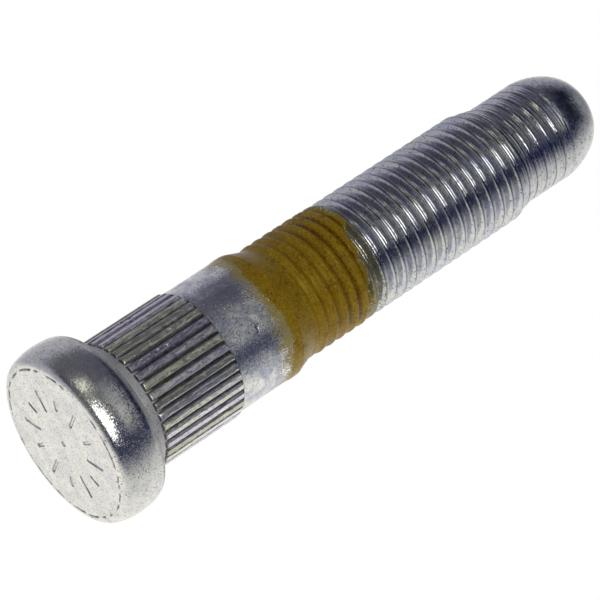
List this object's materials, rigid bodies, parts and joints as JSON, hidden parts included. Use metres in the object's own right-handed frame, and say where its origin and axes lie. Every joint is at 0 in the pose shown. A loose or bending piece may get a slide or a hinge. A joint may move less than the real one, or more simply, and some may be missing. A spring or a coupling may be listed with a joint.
{
  "type": "wheel stud",
  "caption": "Press-in wheel stud with a round head, axial knurl, plain shank, rolled thread with a reduced domed tip, and a dried thread-locking patch.",
  "frame": {"origin": "centre of the flat face of the head, on which the stud stands", "axes": "+Z along the stud's axis, from the head to the domed tip"},
  "size_m": [0.0208, 0.0208, 0.0762],
  "materials": {
    "zinc_steel": "zinc plated, satin with fine speckles",
    "dried_compound": "mustard-coloured dried thread-locking compound, satin"
  },
  "bodies": {
    "root": {"stud": "zinc_steel", "locking_patch": "dried_compound"}
  },
  "joints": []
}
